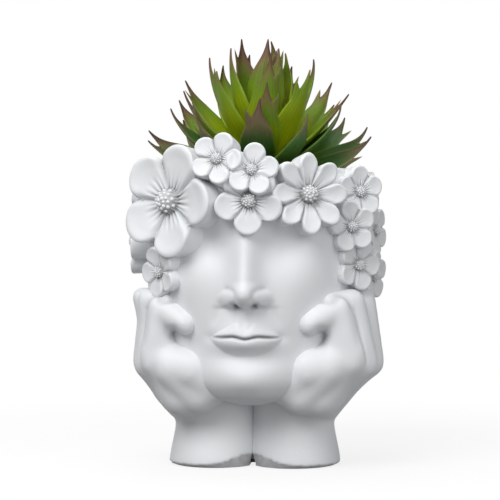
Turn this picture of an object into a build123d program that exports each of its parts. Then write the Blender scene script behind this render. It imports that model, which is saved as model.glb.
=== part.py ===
from build123d import *
from math import cos, pi, radians, sin, sqrt
import os

# Head planter: a hollow head resting in two hands, wreathed in flowers, with an agave pick.
# Millimetres. The pot stands on Z = 0 with its face towards -Y.

# Head
rim_height = 160
jaw_height = 34
head_half_width = 60
head_front_reach = 61
head_back_reach = 63
head_wall = 6
floor_height = 53
bond_gap = 0.15
cut_overrun = 5

# Share of the head's height, then shares of its half width, front reach and back reach
head_outline_shares = [
    (0.00, 0.30, 0.52, 0.30),
    (0.05, 0.50, 0.80, 0.42),
    (0.13, 0.70, 0.93, 0.58),
    (0.26, 0.85, 0.92, 0.78),
    (0.42, 0.95, 0.95, 0.92),
    (0.60, 1.00, 0.97, 1.00),
    (0.80, 1.00, 1.00, 1.00),
    (1.00, 0.95, 0.97, 0.95),
]
brow_share = 0.42

# Face, set out on the classical canon: the unit is the height of one third of the face
chin_height = 40
face_unit = 47
nose_projection = 16
nose_half_width = 11
nose_tip_radius = 6.5
nostril_radius = 5
mouth_half_width = 18
upper_lip_radius = 4.2
lower_lip_radius = 4.8
chin_radius = 14

# Height above the nose's base in face units, half width and projection as shares
nose_profile_shares = [
    (0.78, 0.50, 0.26),
    (0.60, 0.56, 0.44),
    (0.35, 0.70, 0.72),
    (0.14, 0.92, 0.98),
    (0.00, 0.95, 0.80),
]

# Neck spigot with the drain, and its rubber plug
spigot_radius = 9
spigot_recess = 3
drain_radius = 4.5
plug_clearance = 0.1
plug_length = 12
plug_flange_radius = 7.5
plug_flange_thickness = 2

# Hands
wrist_offset = 21
wrist_half_width = 26
wrist_half_depth = 29
base_bevel = 2.5
hand_reach = 63
hand_depth = 40
hand_height = 91
finger_radius = 7
thumb_radius = 8.5

# Palm sections: centre as shares of reach, depth and height, lean in degrees, and
# shares of the wrist's half width and half depth
palm_shares = [
    (0.325, 0.00, 0.26, 0, 0.91, 0.86),
    (0.400, -0.12, 0.41, 30, 0.92, 0.93),
    (0.690, -0.30, 0.57, 44, 0.68, 0.95),
    (0.880, -0.42, 0.68, 36, 0.54, 0.92),
    (0.850, -0.45, 0.84, 12, 0.42, 0.82),
]

# Joints of each finger as shares of reach, depth and height, and its share of the radius
finger_shares = {
    "index": ((0.95, -0.88, 0.64), (0.82, -0.93, 0.97), (0.54, -1.27, 0.85), 1.00),
    "middle": ((1.01, -0.57, 0.62), (0.91, -0.60, 1.00), (0.70, -0.90, 0.97), 1.03),
    "ring": ((1.03, -0.22, 0.63), (0.96, -0.22, 1.01), (0.80, -0.30, 0.99), 1.00),
    "little": ((1.00, 0.12, 0.68), (0.96, 0.14, 0.97), (0.80, 0.10, 0.95), 0.93),
}
thumb_shares = ((0.42, -0.90, 0.50), (0.60, -1.12, 0.63), (0.53, -1.28, 0.73))

# Flowers
bloom_depth = 16
bloom_gap = 0.2
small_bloom_radius = 13.5
middle_bloom_radius = 17
large_bloom_radius = 21
broad_bloom_radius = 25
petal_dish_share = 0.14
petal_reach_share = 0.56
boss_share = 0.25
bead_share = 0.07
bead_count = 8

# Each flower: name, bearing, share of the rim height, size, petals, spin, stand-off share
# of the bloom depth, and upward lean. Later flowers lie under earlier ones.
bloom_places = [
    ("brow_left", -15, 1.02, "small", 5, 24, 0.74, 9),
    ("brow_middle", 4, 0.98, "small", 5, 0, 0.74, 8),
    ("temple_right", 57, 0.81, "small", 5, 20, 0.66, 0),
    ("brow_lower", 1, 0.89, "middle", 5, 36, 0.50, -6),
    ("brow_right", 30, 0.92, "large", 7, 0, 0.46, 6),
    ("crown_right", 66, 0.92, "small", 5, 10, 0.52, 8),
    ("side_right", 84, 0.79, "small", 5, 30, 0.50, 0),
    ("ear_right", 64, 0.69, "small", 5, 50, 0.48, -6),
    ("cheek_right", 86, 0.66, "small", 5, 0, 0.44, -6),
    ("crown_left", -42, 0.90, "broad", 5, 10, 0.50, 4),
    ("ear_left", -49, 0.675, "small", 5, 20, 0.40, -6),
    ("side_left", -84, 0.76, "middle", 5, 40, 0.46, 0),
    ("crown_far_left", -92, 0.95, "small", 5, 5, 0.50, 8),
    ("back_right", 98, 0.91, "middle", 5, 15, 0.48, 6),
    ("nape_right", 112, 0.76, "small", 5, 25, 0.46, 0),
    ("back_low_right", 136, 0.87, "large", 7, 10, 0.46, 2),
    ("back_middle", 168, 0.93, "small", 5, 0, 0.62, 8),
    ("back_lower", 176, 0.76, "middle", 5, 36, 0.48, -4),
    ("back_left", 200, 0.87, "large", 6, 15, 0.44, 4),
    ("nape_left", 236, 0.90, "middle", 5, 5, 0.50, 6),
    ("back_low_left", 234, 0.74, "small", 5, 45, 0.46, 0),
]

# Foam block that holds the pick
foam_top_height = 135
foam_clearance = 3
foam_seat_gap = 0.2

# Agave pick
pick_offset = 3
stem_radius = 3
stem_wire_radius = 0.8
stem_foot_height = 92
stem_clearance = 0.3
core_foot_height = 149
core_height = 26
core_radius = 9
core_tip_radius = 3.5
core_clearance = 0.05
leaf_length = 62
leaf_half_width = 9
leaf_thickness = 1.8
leaf_root_gap = 0.3
leaf_tip_half_width = 0.3
leaf_steps = 24

# Each tier: share up the core, leaves, first bearing, bearing span, root and tip elevation
leaf_tiers = [
    (0.14, 6, 75, 210, 13, 36),
    (0.24, 6, 30, 360, 16, 52),
    (0.34, 6, 0, 360, 24, 64),
    (0.44, 6, 8, 360, 34, 74),
    (0.55, 5, 40, 360, 46, 82),
    (0.66, 5, 12, 360, 58, 88),
    (0.76, 4, 35, 360, 69, 90),
    (0.92, 3, 10, 360, 80, 90),
]

# Half width and thickness along a leaf, as shares
leaf_station_shares = [
    (0.00, 0.45, 1.00),
    (0.18, 0.85, 1.00),
    (0.40, 1.00, 0.90),
    (0.62, 0.78, 0.75),
    (0.80, 0.42, 0.60),
    (0.92, 0.16, 0.45),
]
leaf_crowding_share = 0.9


standing = (Align.CENTER, Align.CENTER, Align.MIN)
hanging = (Align.CENTER, Align.CENTER, Align.MAX)


def mix(low, high, share):
    return low + (high - low) * share


# Head and face

head_height = rim_height - jaw_height
nose_base_height = chin_height + face_unit
mouth_height = chin_height + face_unit * 2 / 3


def head_reaches(height):
    """Half width, front reach and back reach of the head at a height."""
    share = min(max((height - jaw_height) / head_height, 0), 1)
    for low, high in zip(head_outline_shares, head_outline_shares[1:]):
        if share <= high[0]:
            break
    step = (share - low[0]) / (high[0] - low[0])
    return (
        head_half_width * mix(low[1], high[1], step),
        head_front_reach * mix(low[2], high[2], step),
        head_back_reach * mix(low[3], high[3], step),
    )


def head_point(bearing, height):
    """A point on the head. Bearing 0 is the face, and 90 is the +X side."""
    half_width, front, back = head_reaches(height)
    turn = radians(bearing)
    middle, half_depth = (back - front) / 2, (back + front) / 2
    return Vector(half_width * sin(turn), middle - half_depth * cos(turn), height)


def head_section(height, grow):
    half_width, front, back = (reach + grow for reach in head_reaches(height))
    return Pos(0, (back - front) / 2, height) * Ellipse(half_width, (back + front) / 2)


def head_sections(grow, lowest, highest):
    shares = [row[0] for row in head_outline_shares if lowest <= row[0] <= highest]
    return [head_section(jaw_height + head_height * share, grow) for share in shares]


def crown_body(grow):
    """The upright upper part of the head."""
    return loft(head_sections(grow, brow_share, 1), ruled=True)


def jaw_body(grow):
    """The rounded lower part of the head."""
    return loft(head_sections(grow, 0, brow_share))


def planting_mouth(length):
    """The open way above the rim."""
    return extrude(head_section(rim_height, -head_wall), length)


def head_cavity():
    brow_height = jaw_height + head_height * brow_share
    low_heights = [mix(floor_height, brow_height, share) for share in (0, 0.35, 0.7, 1)]
    low = loft([head_section(height, -head_wall) for height in low_heights])
    high = crown_body(-head_wall)
    return low + high + planting_mouth(cut_overrun)


def face_depth(height):
    return head_reaches(height)[1]


def nose():
    sections = []
    for up, wide, out in nose_profile_shares:
        height = nose_base_height + face_unit * up
        half_width = nose_half_width * wide
        tip = face_depth(height) + nose_projection * out
        root = face_depth(height) - head_wall / 2
        front = ThreePointArc((-half_width, -root), (0, -tip), (half_width, -root))
        back = Line((half_width, -root), (-half_width, -root))
        sections.append(Pos(0, 0, height) * make_face([front, back]))
    tip_height = nose_base_height + nose_tip_radius
    tip_depth = face_depth(tip_height) + nose_projection - nose_tip_radius
    nostril_height = nose_base_height + nostril_radius * 0.8
    nostril_depth = face_depth(nostril_height) + nostril_radius * 0.8
    nostril_side = nose_half_width - nostril_radius * 0.4
    return [
        loft(sections),
        Pos(0, -tip_depth, tip_height) * Sphere(nose_tip_radius),
        Pos(-nostril_side, -nostril_depth, nostril_height) * Sphere(nostril_radius),
        Pos(nostril_side, -nostril_depth, nostril_height) * Sphere(nostril_radius),
    ]


def lip(radius, half_width, height):
    roll = scale(Sphere(radius), (half_width / radius, 1, 1))
    return Pos(0, -face_depth(mouth_height), height) * roll


def mouth():
    return [
        lip(upper_lip_radius, mouth_half_width, mouth_height + upper_lip_radius * 0.7),
        lip(lower_lip_radius, mouth_half_width * 0.9, mouth_height - lower_lip_radius * 0.8),
    ]


def chin():
    height = chin_height + chin_radius * 0.75
    depth = face_depth(height) - chin_radius * 0.8
    return Pos(0, -depth, height) * Sphere(chin_radius)


def neck_spigot():
    length = floor_height - spigot_recess
    return Pos(0, 0, spigot_recess) * extrude(Circle(spigot_radius), length)


def head_shell():
    drain = extrude(Circle(drain_radius), floor_height + cut_overrun)
    solid = jaw_body(0) + [crown_body(0), *nose(), *mouth(), chin(), neck_spigot()]
    return solid - head_cavity() - drain


def drain_plug():
    body = Cylinder(drain_radius - plug_clearance, plug_length, align=standing)
    flange = Cylinder(plug_flange_radius, plug_flange_thickness, align=hanging)
    return Pos(0, 0, spigot_recess - plug_clearance) * (body + flange)


# Hands


def tapered_bar(start, end, start_radius, end_radius):
    """Two spheres with the cone that touches both."""
    axis = end - start
    lean = (start_radius - end_radius) / axis.length
    rise = sqrt(1 - lean * lean)
    low = (start_radius * rise, start_radius * lean)
    high = (end_radius * rise, axis.length + end_radius * lean)
    foot, top = (0, -start_radius), (0, axis.length + end_radius)
    foot_turn = sqrt((1 - lean) / 2), sqrt((1 + lean) / 2)
    foot_mid = (start_radius * foot_turn[1], -start_radius * foot_turn[0])
    top_mid = (end_radius * foot_turn[0], axis.length + end_radius * foot_turn[1])
    outline = [
        ThreePointArc(foot, foot_mid, low),
        Line(low, high),
        ThreePointArc(high, top_mid, top),
        Line(top, foot),
    ]
    bar = revolve(Plane.XZ * make_face(outline), Axis.Z)
    return Plane(start, z_dir=axis) * bar


def hand_point(shares):
    return Vector(hand_reach * shares[0], hand_depth * shares[1], hand_height * shares[2])


def palm():
    foot = Ellipse(wrist_half_width - base_bevel, wrist_half_depth - base_bevel)
    heel = Ellipse(wrist_half_width, wrist_half_depth)
    sections = [
        Pos(wrist_offset, 0, 0) * foot,
        Pos(wrist_offset, 0, base_bevel) * heel,
    ]
    for *place, lean, wide, deep in palm_shares:
        ring = Ellipse(wrist_half_width * wide, wrist_half_depth * deep)
        sections.append(Location(hand_point(place), (0, lean, 0)) * ring)
    return loft(sections[:2], ruled=True) + loft(sections[1:])


def fingers(grow=0):
    bars = []
    for knuckle, middle_joint, end_joint, size in finger_shares.values():
        radius = finger_radius * size + grow
        knuckle, middle_joint, end_joint = map(hand_point, (knuckle, middle_joint, end_joint))
        bars.append(tapered_bar(knuckle, middle_joint, radius * 1.08, radius))
        bars.append(tapered_bar(middle_joint, end_joint, radius * 0.99, radius * 0.85))
    root, joint, tip = map(hand_point, thumb_shares)
    radius = thumb_radius + grow
    bars.append(tapered_bar(root, joint, radius * 1.25, radius))
    bars.append(tapered_bar(joint, tip, radius * 0.99, radius * 0.75))
    return bars


def right_hand():
    jaw, crown = jaw_body(bond_gap), crown_body(bond_gap)
    beyond_seam = (Align.MAX, Align.CENTER, Align.CENTER)
    seam = Pos(bond_gap / 2, 0, 0) * Box(hand_reach * 2, hand_depth * 6, rim_height * 3, align=beyond_seam)
    socket = extrude(Circle(spigot_radius + bond_gap), rim_height)
    return palm() - jaw - seam - socket + [bar - jaw - crown for bar in fingers()]


# Flowers

bloom_radii = {
    "small": small_bloom_radius,
    "middle": middle_bloom_radius,
    "large": large_bloom_radius,
    "broad": broad_bloom_radius,
}


def bloom_outline(radius, petals, grow=0):
    reach = radius * petal_reach_share
    long_half = radius - reach + grow
    wide_half = reach * sin(pi / petals) * 1.04 + grow
    turn = 360 / petals
    outline = Circle(reach)
    for k in range(petals):
        outline += Rot(0, 0, 90 + turn * k) * Pos(reach, 0) * Ellipse(long_half, wide_half)
    return outline


def bloom(radius, petals):
    """A flower on Z with its petal tips at Z = 0 and its back below."""
    dish = radius * petal_dish_share
    hollow_radius = (radius * radius + dish * dish) / (2 * dish)
    body = extrude(bloom_outline(radius, petals), -bloom_depth)
    body -= Pos(0, 0, hollow_radius - dish) * Sphere(hollow_radius)
    boss_radius = radius * boss_share
    body += Pos(0, 0, -dish) * Sphere(boss_radius)
    bead_ring = boss_radius * 0.7
    beads = [
        Rot(0, 0, 360 / bead_count * k) * Pos(bead_ring, 0, bead_ring - dish) * Sphere(radius * bead_share)
        for k in range(bead_count)
    ]
    return body + beads


def bloom_location(bearing, height_share, spin, stand_off_share, lean):
    """Where a flower's petal tips lie, with +Z pointing out of the head."""
    height = rim_height * height_share
    here = head_point(bearing, min(height, rim_height))
    ahead = head_point(bearing + 1, min(height, rim_height))
    along = (ahead - here).normalized()
    out = along.cross(Vector(0, 0, 1))
    out = out * cos(radians(lean)) + Vector(0, 0, 1) * sin(radians(lean))
    centre = Vector(here.X, here.Y, height) + out * bloom_depth * stand_off_share
    return Plane(centre, x_dir=along, z_dir=out).location * Rot(0, 0, spin)


def bar_reaches(bar, centre, radius):
    return (centre - bar.center()).length < radius + bar.bounding_box().size.length / 2


def blooms():
    seat = crown_body(bond_gap)
    mouth = planting_mouth(head_height)
    finger_guards = fingers(bloom_gap)
    finger_guards += [mirror(bar, Plane.YZ) for bar in finger_guards]
    made = {}
    guards = []
    shapes = {}
    for name, bearing, height_share, size, petals, spin, stand_off_share, lean in bloom_places:
        radius = bloom_radii[size]
        kind = (radius, petals)
        if kind not in shapes:
            guard = extrude(bloom_outline(radius, petals, bloom_gap), -bloom_depth * 1.7)
            guard = Pos(0, 0, bloom_depth * 0.5) * guard
            shapes[kind] = (bloom(radius, petals), guard)
        place = bloom_location(bearing, height_share, spin, stand_off_share, lean)
        near = radius + bloom_depth / 2
        above = [guard for centre, reach, guard in guards if (place.position - centre).length < near + reach]
        beside = [bar for bar in finger_guards if bar_reaches(bar, place.position, radius)]
        body = place * shapes[kind][0] - [seat, mouth, *above, *beside]
        made["bloom_" + name] = max(body.solids(), key=lambda solid: solid.volume)
        guards.append((place.position, radius, place * shapes[kind][1]))
    return made


# Foam block


def foam_block():
    half_width, front, back = (reach - head_wall - foam_clearance for reach in head_reaches(rim_height))
    low = head_section(floor_height + foam_seat_gap, -head_wall - foam_clearance)
    top = Pos(0, (back - front) / 2, foam_top_height) * Ellipse(half_width, (back + front) / 2)
    hole = Cylinder(stem_radius + stem_clearance, rim_height, align=standing)
    return loft([low, top], ruled=True) - Pos(pick_offset, 0, stem_foot_height - stem_clearance) * hole


# Agave pick

core_top_height = core_foot_height + core_height


def core_radius_at(share):
    return mix(core_radius, core_tip_radius, share)


def stem():
    length = core_top_height - core_clearance * 2 - stem_foot_height
    tube = Circle(stem_radius) - Circle(stem_wire_radius)
    return Pos(pick_offset, 0, stem_foot_height) * extrude(tube, length)


def stem_wire():
    length = core_top_height - core_clearance * 2 - stem_foot_height
    return Pos(pick_offset, 0, stem_foot_height) * extrude(Circle(stem_wire_radius), length)


def leaf_core():
    cone = Cone(core_radius, core_tip_radius, core_height, align=standing)
    cap = Pos(0, 0, core_height) * Sphere(core_tip_radius)
    bore = Cylinder(stem_radius + core_clearance, core_height, align=standing)
    return Pos(pick_offset, 0, core_foot_height) * (cone + cap - bore)


def leaf_path(root_radius, root_elevation, tip_elevation):
    """Points and directions of a leaf's midrib in the XZ plane, which hooks up at its tip."""
    x, z = root_radius, 0
    rib = []
    for k in range(leaf_steps + 1):
        share = k / leaf_steps
        angle = radians(mix(root_elevation, tip_elevation, share * share))
        rib.append((x, z, angle))
        x += leaf_length / leaf_steps * cos(angle)
        z += leaf_length / leaf_steps * sin(angle)
    return rib


def leaf_section(rib_point, width, thickness):
    """A lens that follows the ring of leaves round the core."""
    x, z, angle = rib_point
    bulge = width * width * sin(angle) / (2 * max(x, width)) + thickness * 0.1
    outer = ThreePointArc((-width, 0), (0, -bulge - thickness / 2), (width, 0))
    inner = ThreePointArc((width, 0), (0, -bulge + thickness / 2), (-width, 0))
    plane = Plane((x, 0, z), x_dir=(0, 1, 0), z_dir=(cos(angle), 0, sin(angle)))
    lift = width * width * sin(angle) / (2 * max(x, width))
    return plane * Pos(0, lift) * make_face([outer, inner])


def leaf(root_radius, root_elevation, tip_elevation, ring_count):
    rib = leaf_path(root_radius, root_elevation, tip_elevation)
    sections = []
    for along, wide, thick in leaf_station_shares:
        point = rib[round(along * leaf_steps)]
        room = pi * point[0] / ring_count * leaf_crowding_share
        width = min(leaf_half_width * wide, room)
        sections.append(leaf_section(point, width, leaf_thickness * thick))
    sections.append(leaf_section(rib[-1], leaf_tip_half_width, leaf_tip_half_width))
    return loft(sections)


def leaf_tier(up, count, first, span, root_elevation, tip_elevation):
    ring_count = count * 360 / span
    root_lean = sin(radians(root_elevation))
    root_radius = core_radius_at(up) + leaf_thickness * 0.6 * root_lean + leaf_root_gap
    blade = leaf(root_radius, root_elevation, tip_elevation, ring_count)
    step = span / count if span == 360 else span / (count - 1)
    foot = Pos(pick_offset, 0, core_foot_height + core_height * up)
    return Compound([foot * Rot(0, 0, first + step * k - 90) * blade for k in range(count)])


def planter_parts():
    parts = {"head_shell": head_shell(), "drain_plug": drain_plug()}
    parts["hand_right"] = right_hand()
    parts["hand_left"] = mirror(parts["hand_right"], Plane.YZ)
    parts.update(blooms())
    parts["foam_block"] = foam_block()
    parts["stem"] = stem()
    parts["stem_wire"] = stem_wire()
    parts["leaf_core"] = leaf_core()
    for number, tier in enumerate(leaf_tiers, 1):
        parts[f"leaf_tier_{number}"] = leaf_tier(*tier)
    return parts


os.makedirs("parts", exist_ok=True)
for node, shape in planter_parts().items():
    export_step(shape, f"parts/{node}.step")
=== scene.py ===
import math
import random
import bpy
from mathutils import Matrix, Vector, noise


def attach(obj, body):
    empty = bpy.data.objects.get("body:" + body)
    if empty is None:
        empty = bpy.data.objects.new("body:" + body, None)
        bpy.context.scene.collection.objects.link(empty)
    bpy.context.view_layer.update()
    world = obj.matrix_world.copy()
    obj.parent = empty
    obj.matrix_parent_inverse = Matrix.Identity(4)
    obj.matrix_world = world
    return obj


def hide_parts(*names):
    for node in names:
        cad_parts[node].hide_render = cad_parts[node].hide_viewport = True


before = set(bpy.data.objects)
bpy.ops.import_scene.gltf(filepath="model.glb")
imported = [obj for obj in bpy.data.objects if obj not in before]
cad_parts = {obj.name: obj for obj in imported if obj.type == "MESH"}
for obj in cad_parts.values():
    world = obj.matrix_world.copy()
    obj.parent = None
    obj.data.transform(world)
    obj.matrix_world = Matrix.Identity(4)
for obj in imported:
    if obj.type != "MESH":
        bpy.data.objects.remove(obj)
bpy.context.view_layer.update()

# Head planter with a flower crown, two hands and an agave pick.
# Pieces are modelled in millimetres and brought to metres when they are finished.
millimetre = 0.001
print("frame loaded")


# Small helpers for modelling

def clamp(value, low=0.0, high=1.0):
    return max(low, min(high, value))


def mix(low, high, share):
    return low + (high - low) * share


def ease(low, high, value):  # smooth step from 0 at low to 1 at high
    share = clamp((value - low) / (high - low))
    return share * share * (3 - 2 * share)


def bell(distance, spread):
    return math.exp(-(distance / spread) ** 2)


def softMax(first, second, blend):
    share = max(blend - abs(first - second), 0) / blend
    return max(first, second) + share * share * blend / 4


def tableCurve(rows, place):  # rows of (place, values...), read along a smooth curve
    last = len(rows) - 1
    index = 0
    while index < last - 1 and place > rows[index + 1][0]:
        index += 1
    low, high = rows[index], rows[index + 1]
    before, after = rows[max(index - 1, 0)], rows[min(index + 2, last)]
    share = clamp((place - low[0]) / (high[0] - low[0]))
    values = []
    for column in range(1, len(low)):
        slopeLow = (high[column] - before[column]) / (high[0] - before[0])
        slopeHigh = (after[column] - low[column]) / (after[0] - low[0])
        span = high[0] - low[0]
        square, cube = share * share, share ** 3
        values.append(
            (2 * cube - 3 * square + 1) * low[column]
            + (cube - 2 * square + share) * span * slopeLow
            + (3 * square - 2 * cube) * high[column]
            + (cube - square) * span * slopeHigh
        )
    return values


def deselectAll():
    for item in list(bpy.context.selected_objects):
        item.select_set(False)
    bpy.context.view_layer.objects.active = None


def useOnly(item):
    deselectAll()
    item.select_set(True)
    bpy.context.view_layer.objects.active = item


def applyModifier(item, kind, **settings):
    useOnly(item)
    modifier = item.modifiers.new(kind.title(), kind)
    for name, value in settings.items():
        setattr(modifier, name, value)
    bpy.ops.object.modifier_apply(modifier=modifier.name)


def joinPieces(items):
    deselectAll()
    for item in items:
        item.select_set(True)
    bpy.context.view_layer.objects.active = items[0]
    bpy.ops.object.join()
    return items[0]


def copyPiece(item):
    twin = item.copy()
    twin.data = item.data.copy()
    bpy.context.scene.collection.objects.link(twin)
    return twin


def tidyMesh(item, weld=0.01):  # merges doubles and turns the faces outwards
    useOnly(item)
    bpy.ops.object.mode_set(mode="EDIT")
    bpy.ops.mesh.select_all(action="SELECT")
    bpy.ops.mesh.remove_doubles(threshold=weld)
    bpy.ops.mesh.normals_make_consistent(inside=False)
    bpy.ops.object.mode_set(mode="OBJECT")


def moveVertices(item, place):
    for vertex in item.data.vertices:
        vertex.co = place(vertex.co.copy())


def paint(item, name, values):  # one number for each vertex, for the materials to read
    layer = item.data.attributes.get(name) or item.data.attributes.new(name, "FLOAT", "POINT")
    layer.data.foreach_set("value", values)


def finishPiece(item, name, material, body, nodes, smoothAngle=40):
    useOnly(item)
    bpy.ops.object.transform_apply(location=True, rotation=True, scale=True)
    bpy.ops.object.shade_smooth_by_angle(angle=math.radians(smoothAngle))
    item.data.transform(Matrix.Scale(millimetre, 4))
    item.data.update()
    item.name = name
    item.data.name = name
    item.data.materials.clear()
    item.data.materials.append(material)
    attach(item, body)
    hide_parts(*nodes)
    print(name, len(item.data.polygons), "faces")
    return item


# Materials

class Wire:  # a value in a shader, so that shader sums are written as sums
    def __init__(self, tree, socket):
        self.tree = tree
        self.socket = socket

    def maths(self, operation, first, second):
        node = self.tree.nodes.new("ShaderNodeMath")
        node.operation = operation
        for socket, value in zip(node.inputs, (first, second)):
            if isinstance(value, Wire):
                self.tree.links.new(value.socket, socket)
            else:
                socket.default_value = value
        return Wire(self.tree, node.outputs[0])

    def __add__(self, other):
        return self.maths("ADD", self, other)

    def __radd__(self, other):
        return self.maths("ADD", other, self)

    def __sub__(self, other):
        return self.maths("SUBTRACT", self, other)

    def __rsub__(self, other):
        return self.maths("SUBTRACT", other, self)

    def __mul__(self, other):
        return self.maths("MULTIPLY", self, other)

    def __rmul__(self, other):
        return self.maths("MULTIPLY", other, self)

    def __pow__(self, other):
        return self.maths("POWER", self, other)


class Finish:  # a material and the nodes that it is made of
    def __init__(self, name):
        self.material = bpy.data.materials.new(name)
        self.material.use_nodes = True
        self.tree = self.material.node_tree
        self.shader = self.tree.nodes["Principled BSDF"]
        self.output = self.tree.nodes["Material Output"]

    def add(self, kind, settings=None, output=0, **sockets):
        node = self.tree.nodes.new(kind)
        for name, value in (settings or {}).items():
            if name == "stops":
                ramp = node.color_ramp
                while len(ramp.elements) < len(value):
                    ramp.elements.new(0.5)
                for element, (place, colour) in zip(ramp.elements, value):
                    element.position = place
                    element.color = (*colour, 1)
            else:
                setattr(node, name, value)
        for name, value in sockets.items():
            place = int(name[2:]) if name.startswith("at") else name.replace("_", " ")
            self.plug(node.inputs[place], value)
        return Wire(self.tree, node.outputs[output])

    def plug(self, socket, value):
        if isinstance(value, Wire):
            self.tree.links.new(value.socket, socket)
        else:
            socket.default_value = value

    def set(self, **sockets):
        for name, value in sockets.items():
            self.plug(self.shader.inputs[name.replace("_", " ")], value)

    def place(self):
        return self.add("ShaderNodeTexCoord", output="Object")

    def noise(self, scale, detail=3, roughness=0.55, place=None):
        place = place or self.place()
        return self.add(
            "ShaderNodeTexNoise", Vector=place, Scale=scale, Detail=detail, Roughness=roughness
        )

    def attribute(self, name):
        return self.add("ShaderNodeAttribute", {"attribute_name": name}, output="Fac")

    def blend(self, factor, first, second):
        return self.add(
            "ShaderNodeMix", {"data_type": "RGBA"}, output=2, at0=factor, at6=first, at7=second
        )

    def ramp(self, factor, stops):
        return self.add("ShaderNodeValToRGB", {"stops": stops}, Fac=factor)

    def bump(self, height, strength, distance):
        return self.add(
            "ShaderNodeBump", Height=height, Strength=strength, Distance=distance
        )


potFinishSettings = {
    "paint": (0.80, 0.815, 0.835, 1),
    "paintWarm": (0.775, 0.785, 0.795, 1),
    # colour of the painted shade in creases, hollows and narrow places
    "recessShadeTone": (0.16, 0.165, 0.16, 1),
    "cloudScale": 28,
    "grainScale": 900,
    "brushScale": 150,
    "roughness": 0.56, "roughnessSpread": 0.16,
    "gloss": 0.35, "bumpStrength": 0.18, "bumpDepth": 0.0005,
}


def potFinish():
    settings = potFinishSettings
    finish = Finish("mattePot")
    clouds = finish.noise(settings["cloudScale"])
    grain = finish.noise(settings["grainScale"], detail=2)
    brush = finish.noise(settings["brushScale"], detail=4)
    # recess is painted shade: darker paint in creases, hollows and narrow places, where shade falls
    recess = finish.attribute("recess")
    paintTone = finish.blend(clouds, settings["paintWarm"], settings["paint"])
    finish.set(
        Base_Color=finish.blend(recess, paintTone, settings["recessShadeTone"]),
        Roughness=settings["roughness"] + settings["roughnessSpread"] * (clouds - 0.5) + 0.1 * recess,
        Normal=finish.bump(brush * 0.75 + grain * 0.25, settings["bumpStrength"], settings["bumpDepth"]),
        Specular_IOR_Level=settings["gloss"],
    )
    return finish.material


leafFinishSettings = {
    # share along the leaf, colour there
    "outer": [(0.0, (0.17, 0.25, 0.010)), (0.30, (0.065, 0.150, 0.012)), (0.60, (0.055, 0.140, 0.028)),
              (0.82, (0.17, 0.13, 0.065)), (1.0, (0.12, 0.050, 0.042))],
    "inner": [(0.0, (0.44, 0.49, 0.002)), (0.45, (0.33, 0.43, 0.004)), (0.68, (0.17, 0.29, 0.012)),
              (0.88, (0.19, 0.11, 0.05)), (1.0, (0.12, 0.045, 0.035))],
    "veinScale": 26,
    "blotchScale": 60,
    "edgeTone": (0.30, 0.40, 0.07, 1),
    "shadeTone": (0.02, 0.055, 0.008, 1),
    "burntStart": 0.09, "burntEdge": 0.16, "burntBlotch": 0.14, "burntSpread": 0.30,
    "veinShade": 0.06, "blotchShade": 0.30, "edgeShare": 0.55,
    "roughness": 0.43, "gloss": 0.3, "bumpStrength": 0.22, "bumpDepth": 0.0004,
}


def leafFinish(name, stops):
    settings = leafFinishSettings
    finish = Finish(name)
    along = finish.attribute("along")
    across = finish.attribute("across")
    tone = finish.attribute("tone")
    blotch = finish.noise(settings["blotchScale"], detail=4)
    burnt = along + settings["burntEdge"] * across * across * along - settings["burntStart"]
    burnt = burnt + settings["burntBlotch"] * (blotch - 0.5) + settings["burntSpread"] * (tone - 0.5)
    tint = finish.ramp(burnt, stops)
    veins = finish.add("ShaderNodeMath", {"operation": "SINE"}, at0=across * settings["veinScale"])
    shade = settings["veinShade"] * veins + settings["blotchShade"] * blotch
    shaded = finish.blend(shade, tint, settings["shadeTone"])
    edge = (across * across) ** 9.0
    finish.set(
        Base_Color=finish.blend(settings["edgeShare"] * edge * (1.0 - along), shaded, settings["edgeTone"]),
        Roughness=settings["roughness"] + 0.2 * (blotch - 0.3),
        Normal=finish.bump(veins * 0.35 + blotch, settings["bumpStrength"], settings["bumpDepth"]),
        Specular_IOR_Level=settings["gloss"],
    )
    return finish.material


def grainyFinish(name, light, dark, scale, roughness, depth, metallic=0.0):
    finish = Finish(name)
    grain = finish.noise(scale, detail=5, roughness=0.65)
    finish.set(
        Base_Color=finish.blend(grain, dark, light),
        Roughness=roughness + 0.2 * (grain - 0.5),
        Metallic=metallic,
        Normal=finish.bump(grain, 0.5, depth),
    )
    return finish.material


mattePot = potFinish()
outerLeaf = leafFinish("outerLeaf", leafFinishSettings["outer"])
innerLeaf = leafFinish("innerLeaf", leafFinishSettings["inner"])
# light tone, dark tone, grain scale, roughness, bump depth, metallic
foamFinish = grainyFinish("foam", (0.10, 0.15, 0.07, 1), (0.03, 0.05, 0.02, 1), 700, 0.85, 0.0008)
plugFinish = grainyFinish("plugRubber", (0.05, 0.05, 0.05, 1), (0.02, 0.02, 0.02, 1), 500, 0.6, 0.0002)
stemFinish = grainyFinish("stemPlastic", (0.14, 0.22, 0.05, 1), (0.08, 0.14, 0.03, 1), 300, 0.45, 0.0002)
wireFinish = grainyFinish("stemWire", (0.50, 0.50, 0.50, 1), (0.35, 0.35, 0.35, 1), 900, 0.35, 0.0001, 1.0)
heartFinish = grainyFinish("leafHeart", (0.30, 0.38, 0.04, 1), (0.18, 0.26, 0.03, 1), 200, 0.45, 0.0003)
for node, finishMaterial in (
    ("drain_plug", plugFinish), ("stem", stemFinish), ("stem_wire", wireFinish), ("leaf_core", heartFinish),
):
    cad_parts[node].data.materials.clear()
    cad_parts[node].data.materials.append(finishMaterial)
print("materials ready")


# Head

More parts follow.
